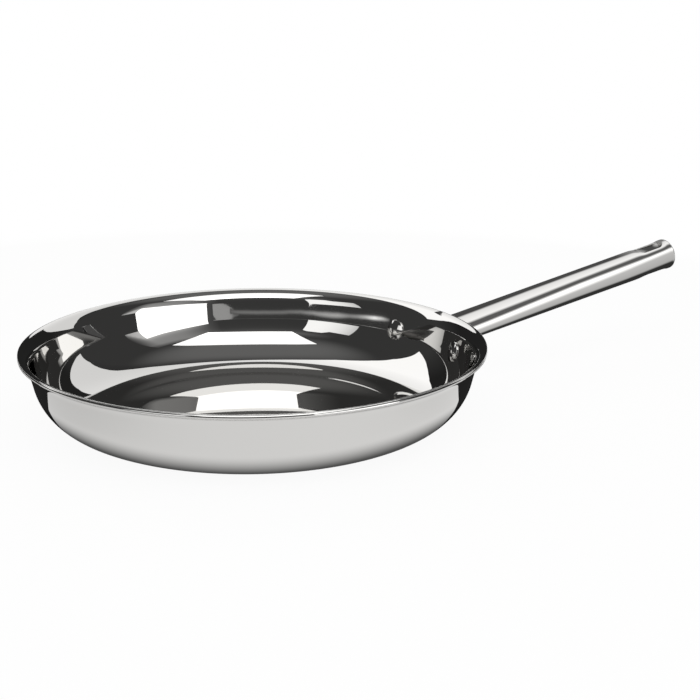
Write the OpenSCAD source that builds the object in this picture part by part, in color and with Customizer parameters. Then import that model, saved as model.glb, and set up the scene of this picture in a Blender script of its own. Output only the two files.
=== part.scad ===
// Frying pan of polished stainless steel. The pan body is pressed from three bonded plies and
// has a flared rim. A tubular handle is welded to a bracket, and two rivets hold the bracket
// to the wall. All sizes are in millimetres. The pan's axis is Z, its underside lies on z = 0
// and the handle points along +X.

/* [Pan body] */
// Diameter over the flared rim
rim_d = 280; // [220:1:340]
// Height from the underside to the top of the rim
pan_h = 47.7; // [42:0.1:60]
// Lean of the wall, from upright
wall_lean = 13.6; // [8:0.1:20]
// Outside radius of the bend below the wall
corner_r = 35; // [28:0.5:40]
// Outside radius of the softer bend beside the underside
base_bend_r = 53; // [40:1:70]
// Slope at which the softer bend ends, from upright
base_bend_turn = 63.5; // [55:0.5:75]

/* [Rim] */
// Radius of the first, wide part of the flare, on the outside
flare_r = 9.9; // [8:0.1:12]
// Slope at which the wide part of the flare ends, from upright
flare_turn = 44; // [35:1:60]
// Radius of the last, tighter part of the flare, on the outside
lip_r = 5.5; // [3:0.1:7]
// Slope of the flare at its edge, from upright
lip_turn = 86.5; // [75:0.5:90]
// Width of the steel that closes the core in at the edge
seal_w = 1.5; // [0.8:0.1:2.5]

/* [Plies] */
// Thickness of the steel ply on the outside
outer_t = 0.5; // [0.4:0.1:1]
// Thickness of the aluminium core
core_t = 1.4; // [0.8:0.1:3]
// Thickness of the steel ply on the inside
inner_t = 0.5; // [0.4:0.1:1]

/* [Handle tube] */
// Length of the handle beyond the rim, along its axis and with its cap
handle_len = 196; // [150:1:240]
// Rise of the handle above level
handle_tilt = 8.8; // [0:0.1:20]
// Outside diameter where the tube passes the rim
root_d = 19.4; // [16:0.1:22]
// Outside diameter at the end of the handle
end_d = 20.9; // [17:0.1:24]
// Wall thickness of the tube
tube_t = 1.2; // [0.8:0.1:2]
// Gap between the tube and the underside of the rim
rim_gap = 2.8; // [1:0.1:6]

/* [Handle cap] */
// Length of the cap that shows beyond the tube
cap_t = 3; // [2:0.1:3.5]
// Radius of the cap's edge
cap_round = 1.8; // [0.5:0.1:2]
// Gap between the cap's spigot and the slot's lips
spigot_gap = 0.3; // [0.1:0.1:0.6]

/* [Hanging slot] */
// Length of the slot
slot_len = 22; // [16:0.5:30]
// Width of the slot
slot_w = 10.5; // [6:0.1:12]
// Distance from the slot to the end of the handle
slot_end = 5.6; // [5.5:0.1:20]
// Thickness of the lips that are pressed in around the slot
slot_lip = 1.2; // [0.8:0.1:1.8]

/* [Bracket] */
// Distance of the bracket and its rivets below the top of the rim
seat_drop = 17.9; // [15:0.1:19]
// Height of the bracket at the rivets, also its width around each of them
bracket_h = 20; // [16:0.5:22]
// Diameter of the bracket's middle, which carries the tube
boss_d = 25; // [24:0.5:27]
// Thickness of the bracket
bracket_t = 2.5; // [1.5:0.1:3.5]
// Width of the weld around the tube
weld_w = 1.5; // [0.8:0.1:2.5]
// Height of the weld above the bracket
weld_h = 1.5; // [0.8:0.1:2.5]

/* [Rivets] */
// Distance between the rivets, centre to centre
rivet_gap = 65; // [50:0.5:70]
// Diameter of the shank
shank_d = 6; // [4:0.1:8]
// Diameter of the head inside the pan
head_d = 13; // [10:0.1:15]
// Height of the crown of the head inside the pan
crown_h = 1.6; // [0.8:0.1:2.5]
// Height of the upright edge of that head
head_edge = 0.7; // [0.3:0.1:1.5]
// Diameter of the closed head behind the bracket
tail_d = 10; // [8:0.1:13]
// Height of the closed head behind the bracket
tail_h = 1.8; // [0.8:0.1:2.5]

/* [Hidden] */
// Clearance of a rivet in its hole, on the radius
rivet_fit = 0.05;
// Clearance of the cap's spigot in the tube, on the radius
cap_fit = 0.05;
// Overrun of a cut past the face that it leaves
overrun = 1;

// Smoothness of small rounds, of rounds about the pan's axis, and of the profile's arcs
$fn = 96;
pan_fn = 240;
base_steps = 10;
corner_steps = 20;
flare_steps = 12;
lip_steps = 6;

pan_t = outer_t + core_t + inner_t;
rim_r = rim_d / 2;

// Centres of the profile's arcs, as [distance from the pan's axis, height]
lip_c = [rim_r + lip_r * cos(lip_turn), pan_h - (lip_r + pan_t) * sin(lip_turn)];
flare_c = lip_c + (flare_r - lip_r) * [cos(flare_turn), -sin(flare_turn)];
wall_out = [cos(wall_lean), -sin(wall_lean)];
bend_step = (base_bend_r - corner_r) * [cos(base_bend_turn), -sin(base_bend_turn)];
base_r = ((flare_c - flare_r * wall_out - bend_step) * wall_out
    - corner_r + base_bend_r * sin(wall_lean)) / cos(wall_lean);
base_c = [base_r, base_bend_r];
corner_c = base_c + bend_step;

// Slope at which the core ends, so that the edge is solid steel
core_turn = lip_turn - seal_w / (lip_r + pan_t) * 180 / PI;

// Bracket and rivets
seat_z = pan_h - seat_drop;
seat_r = wall_low(0)[0] + (seat_z - wall_low(0)[1]) * tan(wall_lean);
rivet_turn = asin(rivet_gap / 2 / seat_r);

// Handle, in a frame with its origin on the tube's axis at the rim and Z along the tube
tube_z = pan_h - pan_t * sin(lip_turn) - rim_gap - root_d / 2 / cos(handle_tilt);
root_run = rim_r - base_r;
tube_len = handle_len - cap_t;
slot_mid = handle_len - slot_end - slot_len / 2;
spigot_len = slot_end - slot_lip - cap_t - spigot_gap;

// Ends of the wall's straight part, at a depth measured inwards from the pan's outside
function wall_low(depth) = corner_c + (corner_r - depth) * wall_out;
function wall_high(depth) = flare_c - (flare_r + depth) * wall_out;

// Outside radius of the tube at a distance along its axis
function tube_r(z) = (root_d + (end_d - root_d) * z / handle_len) / 2;

function arc_points(centre, r, from_a, to_a, steps, first = 0) =
    [for (i = [first:steps]) let (a = from_a + (to_a - from_a) * i / steps)
        centre + r * [cos(a), sin(a)]];

// The pan's surface at a depth from its outside, up to the tight part of the flare
function wall_points(depth) = concat(
    arc_points(base_c, base_bend_r - depth, -90, -base_bend_turn, base_steps),
    arc_points(corner_c, corner_r - depth, -base_bend_turn, -wall_lean, corner_steps, 1),
    arc_points(flare_c, flare_r + depth, 180 - wall_lean, 180 - flare_turn, flare_steps)
);

// Its two further stretches, beside the core and beside the solid edge
function lip_points(depth) =
    arc_points(lip_c, lip_r + depth, 180 - flare_turn, 180 - core_turn, lip_steps, 1);
function edge_points(depth) =
    arc_points(lip_c, lip_r + depth, 180 - core_turn, 180 - lip_turn, lip_steps, 1);

function whole_line(depth) = concat(wall_points(depth), lip_points(depth), edge_points(depth));
function core_line(depth) = concat(wall_points(depth), lip_points(depth));
function backwards(points) = [for (i = [len(points) - 1:-1:0]) points[i]];
function last(points) = points[len(points) - 1];

// Section between two lines, from the pan's axis outwards
module ply_section(low_line, high_line) {
    polygon(concat(
        [[0, low_line[0][1]]], low_line, backwards(high_line), [[0, high_line[0][1]]]
    ));
}

// Section of the corner, wall and flare alone
module wall_section(low, high) {
    polygon(concat(whole_line(low), backwards(whole_line(high))));
}

// Everything that lies inside the pan's surface at a depth from its outside
module inside_of(depth) {
    flare_top = flare_c + rim_r * [-cos(flare_turn), sin(flare_turn)];
    rotate_extrude($fn = pan_fn)
        polygon(concat([[0, depth]], wall_points(depth), [flare_top, [0, flare_top[1]]]));
}

// Frame of a rivet: origin on the pan's outside, Z square to the wall and outwards
module at_rivet(side) {
    rotate([0, 0, side * rivet_turn])
        translate([seat_r, 0, seat_z])
            rotate([0, 90 + wall_lean, 0]) children();
}

module at_tube() {
    translate([rim_r, 0, tube_z]) rotate([0, 90 - handle_tilt, 0]) children();
}

module rivet_holes() {
    hole_len = 2 * (bracket_t + pan_t) + overrun;
    for (side = [-1, 1])
        at_rivet(side) cylinder(r = shank_d / 2 + rivet_fit, h = hole_len, center = true);
}

// The outer ply also closes the core in at the rim's edge
module outer_ply() {
    color([0.80, 0.80, 0.81]) difference() {
        rotate_extrude($fn = pan_fn) ply_section(
            concat(whole_line(0), backwards(edge_points(pan_t - inner_t))),
            concat(core_line(outer_t), [last(core_line(pan_t - inner_t))])
        );
        rivet_holes();
    }
}

module core_ply() {
    color([0.66, 0.68, 0.72]) difference() {
        rotate_extrude($fn = pan_fn) ply_section(core_line(outer_t), core_line(pan_t - inner_t));
        rivet_holes();
    }
}

module inner_ply() {
    color([0.86, 0.86, 0.87]) difference() {
        rotate_extrude($fn = pan_fn) ply_section(whole_line(pan_t - inner_t), whole_line(pan_t));
        rivet_holes();
    }
}

// Outline of the bracket, seen along the handle
module bracket_outline() {
    square([rivet_gap, bracket_h], center = true);
    for (side = [-1, 1]) translate([side * rivet_gap / 2, 0]) circle(bracket_h / 2);
    circle(boss_d / 2);
}

// The bracket is as curved as the wall that it lies on
module handle_bracket() {
    color([0.74, 0.74, 0.76]) difference() {
        intersection() {
            rotate_extrude($fn = pan_fn) wall_section(-bracket_t, 0);
            translate([0, 0, seat_z]) rotate([90, 0, 90])
                linear_extrude(height = rim_d) bracket_outline();
        }
        rivet_holes();
    }
}

// Both heads reach into the wall here and are cut back to its faces
module rivet_heads() {
    crown_r = (pow(head_d / 2, 2) + pow(crown_h, 2)) / (2 * crown_h);
    tail_r = (pow(tail_d / 2, 2) + pow(tail_h, 2)) / (2 * tail_h);
    head_low = -pan_t - head_edge - crown_h;
    tail_high = bracket_t + tail_h;
    rotate_extrude() {
        intersection() {
            translate([0, head_low + crown_r]) circle(crown_r);
            translate([0, head_low]) square([head_d / 2, -head_low]);
        }
        intersection() {
            translate([0, tail_high - tail_r]) circle(tail_r);
            square([tail_d / 2, tail_high]);
        }
    }
}

module rivet(side) {
    color([0.90, 0.90, 0.91]) {
        difference() {
            at_rivet(side) rivet_heads();
            rotate_extrude($fn = pan_fn) wall_section(-bracket_t, pan_t);
        }
        at_rivet(side) translate([0, 0, -pan_t - head_edge])
            cylinder(d = shank_d, h = pan_t + head_edge + bracket_t + tail_h / 2);
    }
}

module rivet_left() {
    rivet(1);
}

module rivet_right() {
    rivet(-1);
}

// Tapered bar around the tube's axis, grown on the radius, up to a distance from the rim
module tube_bar(grow, end_z) {
    translate([0, 0, -root_run])
        cylinder(r1 = tube_r(-root_run) + grow, r2 = tube_r(end_z) + grow, h = root_run + end_z);
}

// Bar with the section of the hanging slot, right through the tube
module slot_bar(grow) {
    half_run = (slot_len - slot_w) / 2;
    translate([0, 0, slot_mid]) rotate([0, 90, 0])
        linear_extrude(height = 2 * end_d, center = true) {
            square([2 * half_run, slot_w + 2 * grow], center = true);
            for (side = [-1, 1]) translate([side * half_run, 0]) circle(slot_w / 2 + grow);
        }
}

module handle_tube() {
    color([0.82, 0.82, 0.83]) difference() {
        at_tube() difference() {
            union() {
                difference() {
                    tube_bar(0, tube_len);
                    tube_bar(-tube_t, tube_len + overrun);
                }
                intersection() {
                    tube_bar(0, tube_len);
                    slot_bar(slot_lip);
                }
            }
            slot_bar(0);
        }
        inside_of(-bracket_t);
    }
}

// Bead that follows the joint between the tube and the bracket
module handle_weld() {
    color([0.68, 0.68, 0.70]) difference() {
        intersection() {
            at_tube() tube_bar(weld_w, root_run);
            inside_of(-bracket_t - weld_h);
        }
        at_tube() tube_bar(0, root_run + overrun);
        inside_of(-bracket_t);
    }
}

// Cap that closes the end of the tube, with a spigot inside it
module handle_cap() {
    cap_r = tube_r(tube_len);
    spigot_r = tube_r(tube_len - spigot_len) - tube_t - cap_fit;
    color([0.82, 0.82, 0.83]) at_tube() translate([0, 0, tube_len]) rotate_extrude() {
        square([cap_r, cap_t - cap_round]);
        square([cap_r - cap_round, cap_t]);
        translate([cap_r - cap_round, cap_t - cap_round]) intersection() {
            circle(cap_round);
            square(cap_round);
        }
        translate([0, -spigot_len]) square([spigot_r, spigot_len]);
    }
}

outer_ply();
core_ply();
inner_ply();
handle_bracket();
rivet_left();
rivet_right();
handle_weld();
handle_tube();
handle_cap();
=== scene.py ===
from math import asin, cos, degrees, exp, hypot, pi, radians, sin, sqrt, tan

import bpy
from mathutils import Matrix, Vector


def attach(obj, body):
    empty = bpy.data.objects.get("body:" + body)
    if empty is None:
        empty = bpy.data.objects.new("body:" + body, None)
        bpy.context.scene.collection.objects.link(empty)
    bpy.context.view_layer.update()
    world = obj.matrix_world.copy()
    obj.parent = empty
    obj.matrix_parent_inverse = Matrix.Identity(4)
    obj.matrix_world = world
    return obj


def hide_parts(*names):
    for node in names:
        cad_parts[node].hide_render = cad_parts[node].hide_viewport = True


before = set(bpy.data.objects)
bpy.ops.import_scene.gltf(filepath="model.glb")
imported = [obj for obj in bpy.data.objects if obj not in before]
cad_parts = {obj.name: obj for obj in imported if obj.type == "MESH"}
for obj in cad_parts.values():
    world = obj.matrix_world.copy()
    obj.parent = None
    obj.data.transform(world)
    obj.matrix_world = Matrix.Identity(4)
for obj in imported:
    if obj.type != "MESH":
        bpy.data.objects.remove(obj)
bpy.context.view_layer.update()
print("frame loaded:", len(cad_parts), "nodes")


# Small helpers

def hexColour(text):
    # sRGB hex to the linear colour that the shader takes
    parts = [int(text[i:i + 2], 16) / 255 for i in (1, 3, 5)]
    return [p / 12.92 if p <= 0.04045 else ((p + 0.055) / 1.055) ** 2.4 for p in parts] + [1.0]


def addNode(tree, kind, settings=None, links=None):
    # settings are inputs or properties by name, links are input name: output socket
    node = tree.nodes.new(kind)
    for key, value in (settings or {}).items():
        if isinstance(key, int) or key in node.inputs:
            node.inputs[key].default_value = value
        else:
            setattr(node, key, value)
    for key, output in (links or {}).items():
        tree.links.new(output, node.inputs[key])
    return node


def newMaterial(name):
    material = bpy.data.materials.new(name)
    material.use_nodes = True
    material.node_tree.nodes.clear()
    return material, material.node_tree


def meshObject(name, points, faces, material=None, smooth=True):
    # points in millimetres of the row frame
    mesh = bpy.data.meshes.new(name)
    mesh.from_pydata([Vector(p) / 1000 for p in points], [], faces)
    mesh.validate()
    if smooth:
        mesh.shade_smooth()
    thing = bpy.data.objects.new(name, mesh)
    bpy.context.scene.collection.objects.link(thing)
    if material:
        mesh.materials.append(material)
    return thing


def skin(rings, closed=True, capFirst=False, capLast=False):
    # quads between rings of equal length, each ring a list of points
    points = [p for ring in rings for p in ring]
    n = len(rings[0])
    faces = []
    for i in range(len(rings) - 1):
        for j in range(n if closed else n - 1):
            k = (j + 1) % n
            faces.append((i * n + j, i * n + k, (i + 1) * n + k, (i + 1) * n + j))
    if capFirst:
        faces.append(tuple(reversed(range(n))))
    if capLast:
        faces.append(tuple(range((len(rings) - 1) * n, len(rings) * n)))
    return points, faces


def spin(section, steps, seat=None):
    # turns a closed section, given as (radius, height), about the axis
    # a point on the axis stays one point
    points, faces, rows = [], [], []
    for r, z in section:
        if r < 1e-6:
            rows.append([len(points)] * steps)
            points.append(Vector((0, 0, z)))
        else:
            rows.append(list(range(len(points), len(points) + steps)))
            points += [Vector((r * cos(2 * pi * j / steps), r * sin(2 * pi * j / steps), z))
                       for j in range(steps)]
    for i in range(len(rows)):
        low, high = rows[i], rows[(i + 1) % len(rows)]
        if low[0] == low[1] and high[0] == high[1]:
            continue
        for j in range(steps):
            k = (j + 1) % steps
            corners = [low[j], low[k], high[k], high[j]]
            faces.append(tuple(dict.fromkeys(corners)))
    if seat:
        points = [seat @ p for p in points]
    return points, faces


def direction(angle):
    # unit vector in the section plane, angle in degrees from outwards
    return Vector((cos(radians(angle)), sin(radians(angle))))


def arc(centre, radius, start, end, steps, first=0):
    # points on an arc in the section plane, angles in degrees
    return [centre + radius * direction(start + (end - start) * i / steps)
            for i in range(first, steps + 1)]


def place(obj, node):
    # a dressed piece takes the place of its solid
    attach(obj, "root")
    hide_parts(node)
    return obj


# Pan body: the same section as the solids, with the rim's cut edge eased

pan = {
    "rimDiameter": 280,
    "height": 47.7,
    "wallLean": 13.6,
    "baseBendRadius": 53,
    "baseBendTurn": 63.5,
    "cornerRadius": 35,
    "flareRadius": 9.9,
    "flareTurn": 44,
    "lipRadius": 5.5,
    "lipTurn": 86.5,
    "sheet": 2.4,
    "innerSheet": 0.5,
    "outerSheet": 0.5,
    "sealWidth": 1.5,
    "edgeEase": 0.45,
    "roundSteps": 720,
}
rimRadius = pan["rimDiameter"] / 2
lipCentre = Vector((
    rimRadius + pan["lipRadius"] * cos(radians(pan["lipTurn"])),
    pan["height"] - (pan["lipRadius"] + pan["sheet"]) * sin(radians(pan["lipTurn"])),
))
flareCentre = lipCentre + (pan["flareRadius"] - pan["lipRadius"]) * direction(-pan["flareTurn"])
wallOut = direction(-pan["wallLean"])
bendStep = (pan["baseBendRadius"] - pan["cornerRadius"]) * direction(-pan["baseBendTurn"])
baseRadius = (
    (flareCentre - pan["flareRadius"] * wallOut - bendStep).dot(wallOut)
    - pan["cornerRadius"] + pan["baseBendRadius"] * sin(radians(pan["wallLean"]))
) / cos(radians(pan["wallLean"]))
baseCentre = Vector((baseRadius, pan["baseBendRadius"]))
cornerCentre = baseCentre + bendStep


def lipPoint(along, depth):
    # point at a distance from the rim's edge, measured along the sheet, and at a depth in it
    turn = pan["lipTurn"] - degrees(along / (pan["lipRadius"] + pan["sheet"]))
    return lipCentre + (pan["lipRadius"] + depth) * direction(180 - turn)


def sheetLine(depth, trim=0.0, steps=48):
    # from the bend's start to the rim, at a depth from the outside, ending short of the edge by trim
    lipEnd = pan["lipTurn"] - degrees(trim / (pan["lipRadius"] + pan["sheet"]))
    wallTurn, flareTurn = pan["wallLean"], pan["flareTurn"]
    return (
        arc(baseCentre, pan["baseBendRadius"] - depth, -90, -pan["baseBendTurn"], steps // 2)
        + arc(cornerCentre, pan["cornerRadius"] - depth, -pan["baseBendTurn"], -wallTurn, steps, 1)
        + arc(flareCentre, pan["flareRadius"] + depth, 180 - wallTurn, 180 - flareTurn, steps // 2)
        + arc(lipCentre, pan["lipRadius"] + depth, 180 - flareTurn, 180 - lipEnd, steps // 2, 1)
    )


def floorLine(depth, steps=14):
    # the flat middle, finer towards the corner
    return [Vector((baseRadius * sin(radians(90 * i / steps)), depth)) for i in range(steps)]


def wallPoint(depth, height):
    # distance from the axis of the surface at a depth, where it has a height
    line = sheetLine(depth)
    for a, b in zip(line, line[1:]):
        if a.y <= height <= b.y:
            return a.x + (b.x - a.x) * (height - a.y) / (b.y - a.y)
    return line[-1].x


ease = pan["edgeEase"]
easeAngles = [radians(15 * i) for i in range(7)]
seam = pan["sheet"] - pan["innerSheet"]
outerEdge = [lipPoint(ease * (1 - sin(a)), ease * (1 - cos(a))) for a in easeAngles]
innerEdge = [lipPoint(ease * (1 - cos(a)), pan["sheet"] - ease * (1 - sin(a))) for a in easeAngles]
outerSection = (
    floorLine(0) + sheetLine(0, ease) + outerEdge + [lipPoint(0, seam), lipPoint(pan["sealWidth"], seam)]
    + list(reversed(sheetLine(pan["outerSheet"], pan["sealWidth"], 24)))
    + list(reversed(floorLine(pan["outerSheet"])))
)
innerSection = (
    floorLine(seam) + sheetLine(seam, 0, 24) + innerEdge
    + list(reversed(sheetLine(pan["sheet"], ease)))
    + list(reversed(floorLine(pan["sheet"])))
)


# Metals: the grain's width and depth are in millimetres

def polishedMetal(name, tint, roughness, grainWidth, grainDepth):
    material, tree = newMaterial(name)
    place3d = addNode(tree, "ShaderNodeTexCoord")
    grain = addNode(tree, "ShaderNodeTexNoise", {"Scale": 1000 / grainWidth, "Detail": 3.0},
                    {"Vector": place3d.outputs["Object"]})
    bump = addNode(tree, "ShaderNodeBump", {"Strength": 1.0, "Distance": grainDepth / 1000},
                   {"Height": grain.outputs["Fac"]})
    metal = addNode(tree, "ShaderNodeBsdfPrincipled", {
        "Base Color": hexColour(tint), "Metallic": 1.0, "Roughness": roughness},
        {"Normal": bump.outputs["Normal"]})
    addNode(tree, "ShaderNodeOutputMaterial", links={"Surface": metal.outputs["BSDF"]})
    return material


# Stainless sheet and tube, buffed to a mirror: shows the studio sharply, with the faintest waves
buffedSteel = polishedMetal("mirrorBuffedStainlessSteel", "#D2D1CF", 0.02, 6.0, 0.0002)
# Stainless plate, satin brushed: soft and even, without sharp reflections; its grain is drawn coarser
# than it is, so that it shows
satinSteel = polishedMetal("satinBrushedStainlessSteel", "#C9C7C4", 0.28, 0.4, 0.004)
# Stainless weld, cleaned: a little darker and slightly grainy
weldSteel = polishedMetal("weldedStainlessSteel", "#BDB9B4", 0.3, 0.6, 0.01)

points, faces = spin(outerSection, pan["roundSteps"])
place(meshObject("panOutside", points, faces, buffedSteel), "outer_ply")
points, faces = spin(innerSection, pan["roundSteps"])
place(meshObject("panInside", points, faces, buffedSteel), "inner_ply")
print("pan body made")


# Rivets: a low dome with an upright edge inside the pan, a closed head behind the bracket

rivet = {
    "gap": 65,
    "seatDrop": 17.9,
    "headDiameter": 13,
    "crown": 1.6,
    "edge": 0.7,
    "edgeRound": 0.5,
    "sink": 0.6,
    "tailDiameter": 10,
    "tail": 1.8,
    "tailRound": 0.6,
    "shankDiameter": 6,
    "roundSteps": 96,
}
bracket = {
    "thickness": 2.5,
    "height": 20,
    "bossDiameter": 25,
    "edgeRound": 0.8,
    "seatLift": 0.02,
}
seatHeight = pan["height"] - rivet["seatDrop"]
seatRadius = wallPoint(0, seatHeight)
rivetTurn = asin(rivet["gap"] / 2 / seatRadius)


def seatFrame(side):
    # origin on the pan's outside, Z outwards and square to the wall
    return (Matrix.Rotation(side * rivetTurn, 4, "Z") @ Matrix.Translation((seatRadius, 0, seatHeight))
            @ Matrix.Rotation(radians(90 + pan["wallLean"]), 4, "Y"))


def domePoints(radius, rise, edgeRound, steps):
    # from the axis outwards: a shallow dome that turns over into an upright edge
    ball = (radius ** 2 + rise ** 2) / (2 * rise)
    line = []
    for i in range(steps + 1):
        r = (radius - edgeRound) * sin(radians(90 * i / steps))
        line.append((r, sqrt(ball ** 2 - r ** 2) - ball + rise))
    r0, z0 = line[-1]
    turns = [radians(a) for a in (20, 40, 60, 80, 90)]
    return line + [(r0 + edgeRound * sin(a), z0 - edgeRound * (1 - cos(a))) for a in turns]


inside = -pan["sheet"] - rivet["edge"]
headRadius = rivet["headDiameter"] / 2
tailRadius = rivet["tailDiameter"] / 2
shankRadius = rivet["shankDiameter"] / 2
headFoot = -pan["sheet"] + rivet["sink"]
tailFoot = bracket["thickness"] - rivet["sink"]
headDome = domePoints(headRadius, rivet["crown"], rivet["edgeRound"], 16)
tailDome = domePoints(tailRadius, rivet["tail"], rivet["tailRound"], 10)
rivetSection = (
    [(r, inside - z) for r, z in headDome]
    + [(headRadius, headFoot), (shankRadius, headFoot), (shankRadius, tailFoot), (tailRadius, tailFoot)]
    + [(r, bracket["thickness"] + z) for r, z in reversed(tailDome)]
)
for side, node, name in ((1, "rivet_left", "rivetLeft"), (-1, "rivet_right", "rivetRight")):
    points, faces = spin(rivetSection, rivet["roundSteps"], seatFrame(side))
    place(meshObject(name, points, faces, buffedSteel), node)
print("rivets made")


# Handle: tapered tube with the slot's lips pressed in, its foot on the bracket

handle = {
    "length": 196,
    "tilt": 8.8,
    "rootDiameter": 19.4,
    "endDiameter": 20.9,
    "rimGap": 2.8,
    "capThickness": 3.0,
    "capRound": 1.8,
    "slotLength": 22,
    "slotWidth": 10.5,
    "slotToEnd": 5.6,
    "lipRound": 1.3,
    "pressDepth": 0.5,
    "pressReach": 3.125,
    "pressSpread": 0.3,
    "pressEnd": 2.5,
    "slotPiece": 24,
    "roundSteps": 48,
    "straightSteps": 20,
}
tilt = radians(handle["tilt"])
tubeHeight = (pan["height"] - pan["sheet"] * sin(radians(pan["lipTurn"])) - handle["rimGap"]
              - handle["rootDiameter"] / 2 / cos(tilt))
tubeLength = handle["length"] - handle["capThickness"]
slotMiddle = handle["length"] - handle["slotToEnd"] - handle["slotLength"] / 2
tubeStart = Vector((rimRadius, 0, tubeHeight))
along = Vector((cos(tilt), 0, sin(tilt)))
upwards = Vector((-sin(tilt), 0, cos(tilt)))
sideways = Vector((0, 1, 0))
halfRun = (handle["slotLength"] - handle["slotWidth"]) / 2
slotRadius = handle["slotWidth"] / 2
stemEnd = slotMiddle - handle["slotPiece"]


def tubeRadius(u):
    growth = handle["endDiameter"] - handle["rootDiameter"]
    return (handle["rootDiameter"] + growth * u / handle["length"]) / 2


def slotDistance(u, y):
    # distance from the slot's outline, in the plane across which it is cut
    past = max(abs(u - slotMiddle) - halfRun, 0)
    return hypot(past, y) - slotRadius


def pressed(u, y):
    # how far the skin is pressed in beside the slot; nothing at the cap
    d = max(slotDistance(u, y), 0)
    fade = min(max((tubeLength - u) / handle["pressEnd"], 0), 1)
    return handle["pressDepth"] * exp(-(d / handle["pressReach"]) ** 2) * fade * fade * (3 - 2 * fade)


def tubePoint(u, angle):
    # point of the pressed skin; angle from the top, towards +Y
    r = tubeRadius(u)
    y = r * sin(angle)
    r -= pressed(u, y * (1 + handle["pressSpread"] * (1 - cos(angle))))
    return tubeStart + along * u + sideways * (r * sin(angle)) + upwards * (r * cos(angle))


def slotOutline():
    # matching points on the slot's outline and on the border of the tube's upper half around it
    n, m = handle["roundSteps"], handle["straightSteps"]
    run, reach = 2 * halfRun, tubeLength - stemEnd
    pairs = []
    for i in range(n):
        a = -90 + 180 * i / n
        pairs.append(((slotMiddle - halfRun, 180 - a), (stemEnd, radians(a))))
    for i in range(m):
        t = i / m
        pairs.append(((slotMiddle - halfRun + run * t, 90), (stemEnd + reach * t, radians(90))))
    for i in range(n):
        a = 90 - 180 * i / n
        pairs.append(((slotMiddle + halfRun, a), (tubeLength, radians(a))))
    for i in range(m):
        t = i / m
        pairs.append(((slotMiddle + halfRun - run * t, -90), (tubeLength - reach * t, radians(-90))))
    return pairs


def skinPoint(u, y):
    # point of the tube's upper skin at a distance from its middle line
    return tubePoint(u, asin(max(-1, min(1, y / tubeRadius(u)))))


# Upper half round the slot: from the border to the lip, round the lip and down the slot's wall
lip = handle["lipRound"]
pairs = slotOutline()
spread = [(i / 26) ** 1.5 for i in range(27)]
borderRings = []
for t in reversed(spread):
    ring = []
    for (centreU, turn), (borderU, borderAngle) in pairs:
        out = Vector((cos(radians(turn)), sin(radians(turn))))
        u0 = centreU + (slotRadius + lip) * out.x
        y0 = (slotRadius + lip) * out.y
        a0 = asin(y0 / tubeRadius(u0))
        ring.append(tubePoint(u0 + (borderU - u0) * t, a0 + (borderAngle - a0) * t))
    borderRings.append(ring)
lipRings = []
for i in range(1, 9):
    t = i / 8
    ring = []
    for (centreU, turn), border in pairs:
        out = Vector((cos(radians(turn)), sin(radians(turn))))
        start = skinPoint(centreU + (slotRadius + lip) * out.x, (slotRadius + lip) * out.y)
        nearer = skinPoint(centreU + (slotRadius + lip * 0.9) * out.x, (slotRadius + lip * 0.9) * out.y)
        corner = start + (nearer - start) * 10
        wall = tubeStart + along * (centreU + slotRadius * out.x) + sideways * (slotRadius * out.y)
        drop = (corner - wall).dot(upwards)
        corner = wall + upwards * drop
        end = corner - upwards * lip
        ring.append(start * (1 - t) ** 2 + corner * (2 * t * (1 - t)) + end * t ** 2)
    lipRings.append(ring)
wallRings = []
for share in (0.8, 0.5, 0.2):
    ring = []
    for p in lipRings[-1]:
        level = (p - tubeStart).dot(upwards)
        ring.append(p - upwards * (level * (1 - share)))
    wallRings.append(ring)


def mirrorDown(p):
    # the same point on the tube's lower half
    return p - upwards * (2 * (p - tubeStart).dot(upwards))


upper = borderRings + lipRings + wallRings
lower = [[mirrorDown(p) for p in ring] for ring in reversed(upper)]
slotPoints, slotFaces = skin(upper + lower)


def footReach(angle, depth):
    # where a line along the tube's skin meets the pan's surface at a depth
    low, high = -60.0, 0.0
    for step in range(40):
        u = (low + high) / 2
        r = tubeRadius(u)
        p = tubeStart + along * u + sideways * (r * sin(angle)) + upwards * (r * cos(angle))
        if hypot(p.x, p.y) > wallPoint(depth, p.z):
            high = u
        else:
            low = u
    return (low + high) / 2


roundAngles = [radians(180 * i / handle["roundSteps"] - 90) for i in range(handle["roundSteps"])]
roundAngles += [a + pi for a in roundAngles]
footSink = 0.8  # how deep the tube's foot reaches into the bracket
footEnds = [footReach(a, footSink - bracket["thickness"]) for a in roundAngles]
stemRings = []
for i in range(41):
    ring = []
    for a, foot in zip(roundAngles, footEnds):
        u = foot + (stemEnd - foot) * i / 40
        r = tubeRadius(u)
        ring.append(tubeStart + along * u + sideways * (r * sin(a)) + upwards * (r * cos(a)))
    stemRings.append(ring)
stemPoints, stemFaces = skin(stemRings, capFirst=True)
count = len(slotPoints)
tubePoints = slotPoints + stemPoints
tubeFaces = slotFaces + [tuple(i + count for i in face) for face in stemFaces]
tube = meshObject("handleTube", tubePoints, tubeFaces, buffedSteel)
welder = tube.modifiers.new("join", "WELD")
welder.merge_threshold = 0.00001
place(tube, "handle_tube")

# Cap: a disc with a rounded edge that closes the tube
capBase = Matrix.Translation(tubeStart + along * tubeLength) @ Matrix.Rotation(pi / 2 - tilt, 4, "Y")
capRadius, capTop, capRound = tubeRadius(tubeLength), handle["capThickness"], handle["capRound"]
capSection = [(0, capTop)] + [(r, capTop) for r in (3, 6, capRadius - capRound - 0.6)]
capSection += [(capRadius - capRound * (1 - sin(radians(a))), capTop - capRound * (1 - cos(radians(a))))
               for a in range(0, 91, 9)]
capSection += [(capRadius, 0.0), (0, 0.0)]
points, faces = spin(capSection, 2 * handle["roundSteps"], capBase)
place(meshObject("handleCap", points, faces, buffedSteel), "handle_cap")
print("handle made")


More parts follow.
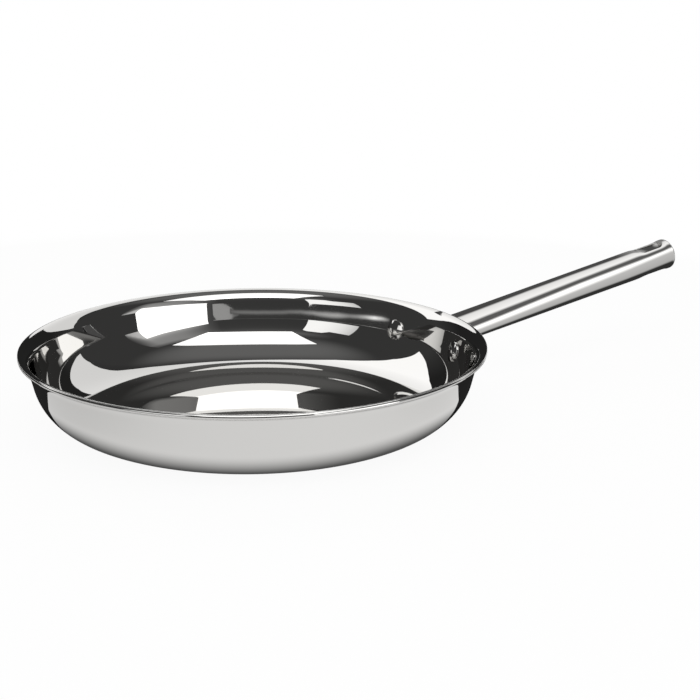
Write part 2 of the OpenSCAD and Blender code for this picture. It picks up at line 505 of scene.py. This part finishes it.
# Bracket: a plate as curved as the wall, with its edges eased

def bracketOutline(steps=160):
    # outline of the plate and its middle, as points around the tube's seat
    pad = rivet["gap"] / 2
    half = bracket["height"] / 2
    line = []
    for i in range(steps):
        a = 2 * pi * i / steps
        c, s = cos(a), sin(a)
        reach = bracket["bossDiameter"] / 2
        if abs(s) > 0.01:  # straight edges above and below
            t = half / abs(s)
            if abs(c) * t <= pad:
                reach = max(reach, t)
        b = pad * abs(c)
        spare = b * b - pad * pad + half * half
        if spare >= 0:  # round ends about the rivets
            t = b + sqrt(spare)
            if t * abs(c) >= pad:
                reach = max(reach, t)
        line.append((reach * c, reach * s))
    return line


outline = bracketOutline()
plateRings = []
edge = bracket["edgeRound"]
for share in (0.05, 0.3, 0.55, 0.75, 0.88):
    plateRings.append([(y * share, z * share, bracket["thickness"]) for y, z in outline])
for a in range(0, 91, 15):
    ring = []
    for y, z in outline:
        far = hypot(y, z)
        scale = (far - edge * (1 - sin(radians(a)))) / far
        ring.append((y * scale, z * scale, bracket["thickness"] - edge * (1 - cos(radians(a)))))
    plateRings.append(ring)
plateRings.append([(y, z, -bracket["seatLift"]) for y, z in outline])
rings = []
for ring in plateRings:
    row = []
    for y, z, lift in ring:
        r = wallPoint(-lift, seatHeight + z)
        row.append(Vector((sqrt(max(r * r - y * y, 0)), y, seatHeight + z)))
    rings.append(row)
points, faces = skin(rings, capFirst=True, capLast=True)
place(meshObject("handleBracket", points, faces, satinSteel), "handle_bracket")

# Weld: a rippled bead between the tube and the bracket

weld = {
    "width": 1.5,
    "height": 1.5,
    "bulge": 0.35,
    "ripples": 44,
    "rippleDepth": 0.12,
    "plateSink": 0.4,
    "tubeSink": 0.3,
    "roundSteps": 288,
}
weldRings = []
for i in range(weld["roundSteps"]):
    angle = 2 * pi * i / weld["roundSteps"]
    foot = footReach(angle, -bracket["thickness"])
    radial = sideways * sin(angle) + upwards * cos(angle)
    corner = tubeStart + along * foot + radial * tubeRadius(foot)
    onTube = corner + along * weld["height"]
    footOut = corner + radial * weld["width"]
    r = wallPoint(-bracket["thickness"], footOut.z)
    onPlate = Vector((sqrt(max(r * r - footOut.y ** 2, 0)), footOut.y, footOut.z))
    wave = weld["rippleDepth"] * sin(weld["ripples"] * angle)
    ring = []
    for k in range(9):
        t = k / 8
        bulge = sin(pi * t) * (weld["bulge"] + wave)
        p = onTube * (1 - t) + onPlate * t
        ring.append(p + (along + radial).normalized() * bulge)
    ring.append(onPlate - along * weld["plateSink"])
    ring.append(corner - (along + radial) * weld["plateSink"])
    ring.append(onTube - radial * weld["tubeSink"])
    weldRings.append(ring)
weldRings.append(weldRings[0])
points, faces = skin(weldRings)
place(meshObject("handleWeld", points, faces, weldSteel), "handle_weld")
print("bracket and weld made")


# Hidden core keeps its own solid; rolled aluminium, pale and evenly dull

rolledAluminium = polishedMetal("rolledAluminium", "#D8DADB", 0.35, 0.5, 0.002)
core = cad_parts["core_ply"]
core.data.materials.clear()
core.data.materials.append(rolledAluminium)


# Studio: places are given as the camera sees them, right, away and up from the rim's middle

studio = {
    "handleTurn": 33,
    "softboxLevel": 2.6,
    "softboxHeight": 1000,
    "backLevel": 1.35,
    "leftWindowLevel": 1.3,
    "rightWindowLevel": 2.2,
    "roomLevel": 0.05,
    "ceilingLevel": 0.17,
    "blackLevel": 0.02,
    "ambientLevel": 0.55,
    "roomRadius": 7500,
    "roomSteps": 48,
    "ceilingFrom": 50,
    "ceilingFull": 75,
    "rearFrom": 3000,
    "rearFull": 5500,
    "rearShare": 0.4,
    "panelDistance": 3000,
}
turn = radians(studio["handleTurn"])


def studioPoint(right, away, up):
    x = right * cos(turn) + away * sin(turn)
    y = -right * sin(turn) + away * cos(turn)
    return Vector((x, y, up + pan["height"]))


def bearingPoint(bearing, distance, elevation):
    # bearing from straight away, clockwise
    b = radians(bearing)
    return studioPoint(distance * sin(b), distance * cos(b), distance * tan(radians(elevation)))


def glow(name, colour, level, across=None):
    # across: shares of the level at places from left to right, in millimetres from the rim's middle
    material, tree = newMaterial(name)
    lamp = addNode(tree, "ShaderNodeEmission", {"Color": hexColour(colour), "Strength": level})
    if across:
        first, last = across[0][0], across[-1][0]
        place3d = addNode(tree, "ShaderNodeTexCoord")
        right = addNode(tree, "ShaderNodeVectorMath",
                        {"operation": "DOT_PRODUCT", 1: (cos(turn), -sin(turn), 0)},
                        {0: place3d.outputs["Object"]})
        share = addNode(tree, "ShaderNodeMapRange", {"From Min": first / 1000, "From Max": last / 1000},
                        {"Value": right.outputs["Value"]})
        ramp = addNode(tree, "ShaderNodeFloatCurve", links={"Value": share.outputs["Result"]})
        curve = ramp.mapping.curves[0]
        for at, value in across[1:-1]:
            curve.points.new((at - first) / (last - first), value / 2)
        curve.points[0].location = (0, across[0][1] / 2)
        curve.points[-1].location = (1, across[-1][1] / 2)
        ramp.mapping.update()
        strength = addNode(tree, "ShaderNodeMath", {"operation": "MULTIPLY", 1: 2 * level},
                           {0: ramp.outputs["Value"]})
        tree.links.new(strength.outputs[0], lamp.inputs["Strength"])
    addNode(tree, "ShaderNodeOutputMaterial", links={"Surface": lamp.outputs["Emission"]})
    return material


def card(name, points, faces, material, lights=True):
    # a panel that only reflections see, and the light too where it lights the scene
    thing = meshObject(name, points, faces, material, smooth=False)
    thing.visible_camera = False
    thing.visible_diffuse = lights
    thing.visible_shadow = False
    return thing


def flatCard(name, corners, material, lights=True):
    return card(name, corners, [tuple(range(len(corners)))], material, lights)


def curvedCard(name, rows, material, lights=True):
    # rows are bearing, lowest and highest elevation, at the panels' distance
    low = [bearingPoint(b, studio["panelDistance"], e) for b, e, f in rows]
    high = [bearingPoint(b, studio["panelDistance"], f) for b, e, f in rows]
    points, faces = skin([low, high], closed=False)
    return card(name, points, faces, material, lights)


def levelCloth(name):
    # light cloth whose level is given for each point of its card
    material, tree = newMaterial(name)
    bright = addNode(tree, "ShaderNodeAttribute", {"attribute_name": "level"})
    lamp = addNode(tree, "ShaderNodeEmission", {"Color": hexColour("#FFFFFF")},
                   {"Strength": bright.outputs["Fac"]})
    addNode(tree, "ShaderNodeOutputMaterial", links={"Surface": lamp.outputs["Emission"]})
    return material


def setLevels(thing, values):
    levels = thing.data.attributes.new("level", "FLOAT", "POINT")
    levels.data.foreach_set("value", values)


def leveledCard(name, rows, levels, lights=False):
    # rows of points, and a level for each of them in the same order
    points, faces = skin(rows, closed=False)
    setLevels(card(name, points, faces, levelCloth(name + "Cloth"), lights), levels)


def between(rows, at):
    # row at a place, straight between the rows given
    for a, b in zip(rows, rows[1:]):
        if at <= b[0]:
            t = (at - a[0]) / (b[0] - a[0])
            return [p + (q - p) * t for p, q in zip(a, b)]
    return rows[-1]


# Softbox over the pan, weaker towards its far edge: away, left, right and share of the level
softboxRows = [(-924, -410, 651, 1.0), (-640, -410, 651, 1.0), (-590, -410, 651, 0.66),
               (-150, -410, 651, 0.66), (-125, -250, 460, 0.66)]
leveledCard("softbox", [[studioPoint(side, away, studio["softboxHeight"]) for side in (left, right)]
                        for away, left, right, share in softboxRows],
            [studio["softboxLevel"] * share
             for away, left, right, share in softboxRows for side in (left, right)], lights=True)

# Wide light behind the pan and the windows to both sides of it
backLight = glow("backLightCloth", "#FFFFFF", studio["backLevel"], ((-1500, 1.1), (300, 0.8), (2500, 0.72)))
curvedCard("backLight", [(-70, 20, 21), (-66, 21.5, 36), (-62, 23, 45), (-56, 25, 50), (-50, 27, 54),
                         (-40, 28.5, 57), (-30, 28, 58.5), (-15, 22, 58.5), (-8, 21, 58), (0, 22, 57.5),
                         (8, 29, 56.5), (20, 28, 53.5), (30, 24, 50), (35, 22, 47), (45, 18, 42),
                         (52, 15, 36), (58, 12, 28), (62, 11, 12)], backLight)
leftWindow = glow("leftWindowLight", "#FFFFFF", studio["leftWindowLevel"],
                  ((-2600, 0.62), (-2150, 1.0), (-1400, 1.1)))
curvedCard("leftWindow", [(208.5, 13, 37), (212, 13, 39), (222, 13, 39), (226, 13, 35), (240, 13, 35)],
           leftWindow)
rightWindow = glow("rightWindowLight", "#FFFFFF", studio["rightWindowLevel"])
curvedCard("rightWindow", [(107.5, 2, 30), (120, 2, 27), (150, 2, 20)], rightWindow)

# Scattered light on the screen round the right window and under the softbox
screen = {
    "distance": 3100,
    "fadeFrom": 38,
    "fadeOver": 14,
    "windowShare": 0.45,
    "windowFade": 4,
    "windowEnd": 150,
    "windowEndFade": 15,
    "softboxShare": 0.12,
    "softboxEdge": 46,
    "softboxFade": 5,
    "softboxEnd": 235,
    "softboxEndFade": 25,
}
# bearing, top of the window there and level
screenRows = [(98, 10, 0.05), (107, 30, 0.3), (120, 27, 0.3), (131, 24, 0.28), (142, 22, 0.18),
              (150, 20, 0.1), (156, 12, 0.055), (215, 12, 0.05), (240, 12, 0.05)]


def screenLevel(bearing, elevation):
    at, top, level = between(screenRows, bearing)
    fade = min(max((elevation - screen["fadeFrom"]) / screen["fadeOver"], 0), 1)
    level = studio["roomLevel"] + (level - studio["roomLevel"]) * (1 - fade ** 2)
    nearSoftbox = exp(-abs(screen["softboxEdge"] - elevation) / screen["softboxFade"])
    nearSoftbox *= min(max((screen["softboxEnd"] - bearing) / screen["softboxEndFade"], 0), 1)
    level += screen["softboxShare"] * nearSoftbox
    if bearing < screen["windowEnd"]:
        nearWindow = exp(-max(elevation - top, 0) / screen["windowFade"])
        nearWindow *= min((screen["windowEnd"] - bearing) / screen["windowEndFade"], 1)
        level += screen["windowShare"] * nearWindow
    return level


screenBearings = [98 + 2 * i for i in range(72)]
screenHeights = [12 + 1.6 * i for i in range(26)]
leveledCard("softScreen", [[bearingPoint(b, screen["distance"], e) for b in screenBearings]
                           for e in screenHeights],
            [screenLevel(b, e) for e in screenHeights for b in screenBearings])

# Small six-sided window with a point to its far side: bearing, foot, head and level
smallWindow = [(153.4, 12.95, 13.6, 0.42), (155.5, 12.72, 13.8, 0.42), (160.8, 12.72, 13.8, 0.42),
               (163.6, 13.05, 13.7, 0.4), (165.5, 13.2, 13.65, 0.2), (169.5, 13.42, 13.56, 0.2)]
leveledCard("smallWindow", [[bearingPoint(b, studio["panelDistance"], e) for e in (foot, head)]
                            for b, foot, head, level in smallWindow],
            [level for b, foot, head, level in smallWindow for e in (foot, head)])

# A thin line of light round the near side, softer to its edges: bearing, elevation, level and half width
lightLine = {
    "distance": 2900,
    "step": 1.2,
    "steps": 81,
}
lineRows = [(163, 13.49, 0.2, 0.14), (167.4, 13.52, 0.28, 0.14), (172.4, 13.56, 0.3, 0.14),
            (176.5, 13.56, 0.3, 0.14), (183, 13.52, 0.3, 0.14), (188.6, 13.42, 0.29, 0.14),
            (197.4, 13.19, 0.3, 0.14), (203.6, 12.92, 0.34, 0.14), (211, 12.46, 0.5, 0.15),
            (218.9, 11.84, 0.62, 0.2), (226, 11.23, 0.66, 0.2), (230, 10.85, 0.5, 0.17),
            (233.1, 10.55, 0.42, 0.14), (238, 10.03, 0.5, 0.14), (243.5, 9.4, 0.9, 0.14),
            (248.7, 8.74, 1.7, 0.14), (253.7, 8.07, 1.0, 0.14), (259.4, 7.22, 0.12, 0.1)]
lineParts = [between(lineRows, lineRows[0][0] + lightLine["step"] * i) for i in range(lightLine["steps"])]
lineShares = [(-1, 0), (-0.5, 0.6), (0, 1), (0.5, 0.6), (1, 0)]
leveledCard("lightLine", [[bearingPoint(b, lightLine["distance"], e + side * half)
                           for b, e, level, half in lineParts] for side, share in lineShares],
            [studio["roomLevel"] + (level - studio["roomLevel"]) * share
             for side, share in lineShares for b, e, level, half in lineParts])

# Camera's place, right, away and up from the rim's middle
view = {
    "right": 57.7,
    "away": -963.3,
    "up": 268.6,
    "pitchDown": 15.82,
    "lens": 85.6,
    "sensor": 36,
}
cameraPlace = studioPoint(view["right"], view["away"], view["up"])

# Sleeve of light strips round the handle, each where the tube shows it to the camera; angles are from the
# tube's top towards the camera
sleeve = {
    "radius": 15,
    "soft": 4,
    "lightUpper": 1.15,
    "lightLower": 1.4,
    "bandLevel": 0.15,
    "windowLevel": 1.9,
    "greyUpper": 0.78,
    "greyLower": 0.64,
    "shadeLevel": 0.04,
    "shadeEnd": 142,
    "edgeFrom": 156,
    "edgeLevel": 0.14,
}
# place along the tube, angles of the light, its end, the window, its end and the shade, level over the light
sleeveRows = [(-8, 27, 65, 86, 95, 124, 0.09), (30, 24, 58, 81, 90, 121, 0.09),
              (70, 19, 53, 72, 83, 117, 0.09), (110, 17, 47, 64, 76, 114, 0.09),
              (150, 17, 43, 61, 69, 113, 0.09), (165, 17, 41, 60, 65, 110, 0.35),
              (185, 15, 38, 55, 60, 106, 0.35), (200, 14, 34, 52, 57, 102, 0.15)]


def stripLevel(angle, bounds):
    u, light, lightEnd, window, windowEnd, shade, line = bounds
    soft = sleeve["soft"]
    stops = [
        (-90, line), (light - soft, line), (light + soft, sleeve["lightUpper"]),
        (lightEnd - soft, sleeve["lightLower"]), (lightEnd + soft, sleeve["bandLevel"]),
        (window - soft, sleeve["bandLevel"]), (window + soft, sleeve["windowLevel"]),
        (windowEnd, sleeve["windowLevel"]), (windowEnd + 3 * soft, sleeve["greyUpper"]),
        (shade - soft, sleeve["greyLower"]), (shade + soft, sleeve["shadeLevel"]),
        (sleeve["shadeEnd"], sleeve["shadeLevel"]), (sleeve["edgeFrom"], sleeve["edgeLevel"]),
        (200, sleeve["edgeLevel"]),
    ]
    return between(stops, angle)[1]


def sleevePoint(u, angle):
    # where the camera's ray, reflected by the tube, reaches the sleeve
    a = radians(angle)
    normal = upwards * cos(a) - sideways * sin(a)
    start = tubeStart + along * u + normal * tubeRadius(u)
    ray = (start - cameraPlace).normalized()
    ray -= 2 * min(ray.dot(normal), -0.01) * normal
    across = ray - along * ray.dot(along)
    half = normal.dot(across) * tubeRadius(u)
    spare = across.length_squared * (sleeve["radius"] ** 2 - tubeRadius(u) ** 2)
    return start + ray * ((sqrt(half ** 2 + spare) - half) / across.length_squared)


sleeveAngles = range(-22, 159, 2)
sleeveRings, sleeveLevels = [], []
for u in range(-6, 203, 4):
    bounds = between(sleeveRows, u)
    sleeveRings.append([sleevePoint(u, angle) for angle in sleeveAngles])
    sleeveLevels += [stripLevel(angle, bounds) for angle in sleeveAngles]
leveledCard("handleSleeve", sleeveRings, sleeveLevels)

# Small glowing card in the slot, so that its wall has something plain to show: painted light for the slot's
# wall to reflect, bright at its near end and dim at its far end
slotLightCard = {
    "height": 3.8,
    "gap": 0.2,
    "nearLevel": 0.95,
    "middleLevel": 0.6,
    "farLevel": 0.1,
}
slotRows = [(-halfRun - slotRadius, slotLightCard["nearLevel"]), (0, slotLightCard["middleLevel"]),
            (halfRun, slotLightCard["farLevel"]), (halfRun + slotRadius, slotLightCard["farLevel"])]
slotSide = slotRadius - slotLightCard["gap"]
leveledCard("slotLightCard", [[tubeStart + along * (slotMiddle + u) + sideways * y + upwards * slotLightCard["height"]
                          for y in (-slotSide, slotSide)] for u, level in slotRows],
            [level for u, level in slotRows for y in (-slotSide, slotSide)])

# Pale card over the floor and two black ones behind the pan, seen only in the steel
floorCards = {
    "paleLevel": 0.94,
    "paleReach": 2500,
    "paleLift": 0.03,
    "blackLift": 0.1,
}
floorTop = -pan["height"]
# the pale card's level falls off to both sides, most to the left: painted shade of the floor beside the
# pan's foot
paleCloth = glow("paleFloorCard", "#FFFFFF", floorCards["paleLevel"],
                 ((-500, 0.8), (-165, 0.82), (-60, 0.97), (0, 1.0), (120, 1.0), (165, 0.94), (500, 0.92)))
reach = floorCards["paleReach"]
flatCard("floorCard", [studioPoint(right, away, floorTop + floorCards["paleLift"]) for right, away in
                       ((-reach, -reach), (reach, -reach), (reach, reach), (-reach, reach))],
         paleCloth, lights=False)
blackCloth = glow("blackCard", "#FFFFFF", studio["blackLevel"])
blackCorners = {
    "blackCardLeft": ((-112, -39), (-128, -31), (-146, -22), (-163, -18), (-260, -10), (-260, 120),
                      (-112, 90)),
    "blackCardRight": ((108, -36), (123, -25), (135, -14), (154, -2), (240, 10), (240, 140), (108, 90)),
}
for name, corners in blackCorners.items():
    flatCard(name, [studioPoint(right, away, floorTop + floorCards["blackLift"]) for right, away in corners],
             blackCloth, lights=False)

# The room: dark walls round the lights, so that the steel has something dark to show
domeRings = []
for elevation in range(-5, 90, 5):
    across = studio["roomRadius"] * cos(radians(elevation))
    height = studio["roomRadius"] * sin(radians(elevation))
    angles = [2 * pi * j / studio["roomSteps"] for j in range(studio["roomSteps"])]
    domeRings.append([Vector((across * cos(a), across * sin(a), height)) for a in angles])
points, faces = skin(domeRings, capLast=True)
roomMaterial, tree = newMaterial("darkRoomWall")
place3d = addNode(tree, "ShaderNodeTexCoord")
apart = addNode(tree, "ShaderNodeSeparateXYZ", links={"Vector": place3d.outputs["Object"]})
ceiling = addNode(tree, "ShaderNodeMapRange", {
    "From Min": studio["roomRadius"] / 1000 * sin(radians(studio["ceilingFrom"])),
    "From Max": studio["roomRadius"] / 1000 * sin(radians(studio["ceilingFull"])),
    "To Min": studio["roomLevel"], "To Max": studio["ceilingLevel"], "interpolation_type": "SMOOTHSTEP"},
    {"Value": apart.outputs["Z"]})
rear = addNode(tree, "ShaderNodeVectorMath", {"operation": "DOT_PRODUCT", 1: (sin(turn), cos(turn), 0)},
               {0: place3d.outputs["Object"]})
rearShare = addNode(tree, "ShaderNodeMapRange", {
    "From Min": studio["rearFrom"] / 1000, "From Max": studio["rearFull"] / 1000,
    "To Min": 1.0, "To Max": studio["rearShare"]}, {"Value": rear.outputs["Value"]})
level = addNode(tree, "ShaderNodeMath", {"operation": "MULTIPLY"},
                {0: ceiling.outputs["Result"], 1: rearShare.outputs["Result"]})
wall = addNode(tree, "ShaderNodeEmission", {"Color": hexColour("#FFFFFF")}, {"Strength": level.outputs[0]})
addNode(tree, "ShaderNodeOutputMaterial", links={"Surface": wall.outputs[0]})
card("darkRoom", points, faces, roomMaterial, lights=False)

world = bpy.data.worlds.new("room")
bpy.context.scene.world = world
world.use_nodes = True
tree = world.node_tree
tree.nodes.clear()


def seenDirectly(tree):
    # 1 for what the camera sees, also through metal and glass
    path = addNode(tree, "ShaderNodeLightPath")
    both = addNode(tree, "ShaderNodeMath", {"operation": "ADD"},
                   {0: path.outputs["Is Camera Ray"], 1: path.outputs["Is Glossy Ray"]})
    return addNode(tree, "ShaderNodeMath", {"operation": "ADD", "use_clamp": True},
                   {0: both.outputs[0], 1: path.outputs["Is Transmission Ray"]})


room = addNode(tree, "ShaderNodeBackground",
               {"Color": hexColour("#FFFFFF"), "Strength": studio["ambientLevel"]})
white = addNode(tree, "ShaderNodeBackground", {"Color": hexColour("#FFFFFF"), "Strength": 1.0})
mix = addNode(tree, "ShaderNodeMixShader",
              links={0: seenDirectly(tree).outputs[0], 1: room.outputs[0], 2: white.outputs[0]})
addNode(tree, "ShaderNodeOutputWorld", links={"Surface": mix.outputs[0]})

# Floor: matt white paper whose shadow is lifted; its far part is plain white, so that it shows no end
floorPaper = {
    "colour": "#F4F4F3",
    "shadowLift": 0.94,
    "plainFrom": 250,
    "plainTo": 600,
    "reach": 9000,
}
floorMaterial, tree = newMaterial("mattWhitePaper")
coordinates = addNode(tree, "ShaderNodeTexCoord")
away = addNode(tree, "ShaderNodeVectorMath", {"operation": "LENGTH"},
               {"Vector": coordinates.outputs["Object"]})
fade = addNode(tree, "ShaderNodeMapRange", {
    "From Min": floorPaper["plainFrom"] / 1000, "From Max": floorPaper["plainTo"] / 1000,
    "interpolation_type": "SMOOTHSTEP"}, {"Value": away.outputs["Value"]})
lift = addNode(tree, "ShaderNodeMath", {"operation": "MULTIPLY", 1: floorPaper["shadowLift"]},
               {0: seenDirectly(tree).outputs[0]})
share = addNode(tree, "ShaderNodeMath", {"operation": "MAXIMUM"},
                {0: fade.outputs["Result"], 1: lift.outputs[0]})
paper = addNode(tree, "ShaderNodeBsdfDiffuse", {"Color": hexColour(floorPaper["colour"])})
plain = addNode(tree, "ShaderNodeEmission", {"Color": hexColour("#FFFFFF"), "Strength": 1.0})
mix = addNode(tree, "ShaderNodeMixShader",
              links={0: share.outputs[0], 1: paper.outputs[0], 2: plain.outputs[0]})
addNode(tree, "ShaderNodeOutputMaterial", links={"Surface": mix.outputs[0]})
reach = floorPaper["reach"]
floor = meshObject("floor", [(-reach, -reach, 0), (reach, -reach, 0), (reach, reach, 0), (-reach, reach, 0)],
                   [(0, 1, 2, 3)], floorMaterial, smooth=False)

# The shadow under the pan's bend as the steel shows it, wider to both sides
footShadow = {
    "inside": 60,
    "dark": 104,
    "clear": 134,
    "depth": 0.92,
    "widen": 1.12,
    "lift": 0.2,
    "fadeSteps": 12,
    "roundSteps": 96,
}
shadowMaterial, tree = newMaterial("footShadow")
shade = addNode(tree, "ShaderNodeAttribute", {"attribute_name": "level"})
clear = addNode(tree, "ShaderNodeBsdfTransparent")
dark = addNode(tree, "ShaderNodeEmission", {"Color": hexColour("#000000"), "Strength": 0.0})
mix = addNode(tree, "ShaderNodeMixShader",
              links={0: shade.outputs["Fac"], 1: clear.outputs[0], 2: dark.outputs[0]})
addNode(tree, "ShaderNodeOutputMaterial", links={"Surface": mix.outputs[0]})
shadowRings, shadowLevels = [], []
for i in range(footShadow["fadeSteps"] + 1):
    t = i / footShadow["fadeSteps"]
    r = footShadow["dark"] + (footShadow["clear"] - footShadow["dark"]) * t if i else footShadow["inside"]
    ring = []
    for j in range(footShadow["roundSteps"]):
        a = 2 * pi * j / footShadow["roundSteps"]
        ring.append(studioPoint(r * footShadow["widen"] * cos(a), r * sin(a), floorTop + footShadow["lift"]))
    shadowRings.append(ring)
    shadowLevels += [footShadow["depth"] * (1 - t * t * (3 - 2 * t))] * footShadow["roundSteps"]
points, faces = skin(shadowRings)
setLevels(card("footShadowRing", points, faces, shadowMaterial, lights=False), shadowLevels)
print("studio made")


# Camera: the photograph's place and angle

cameraData = bpy.data.cameras.new("camera")
cameraData.lens = view["lens"]
cameraData.sensor_width = view["sensor"]
cameraData.clip_start = 0.01
camera = bpy.data.objects.new("camera", cameraData)
bpy.context.scene.collection.objects.link(camera)
camera.location = cameraPlace / 1000
camera.rotation_euler = (radians(90 - view["pitchDown"]), 0, -turn)
bpy.context.scene.camera = camera
bpy.context.scene.view_settings.view_transform = "Standard"

print("scene ready")
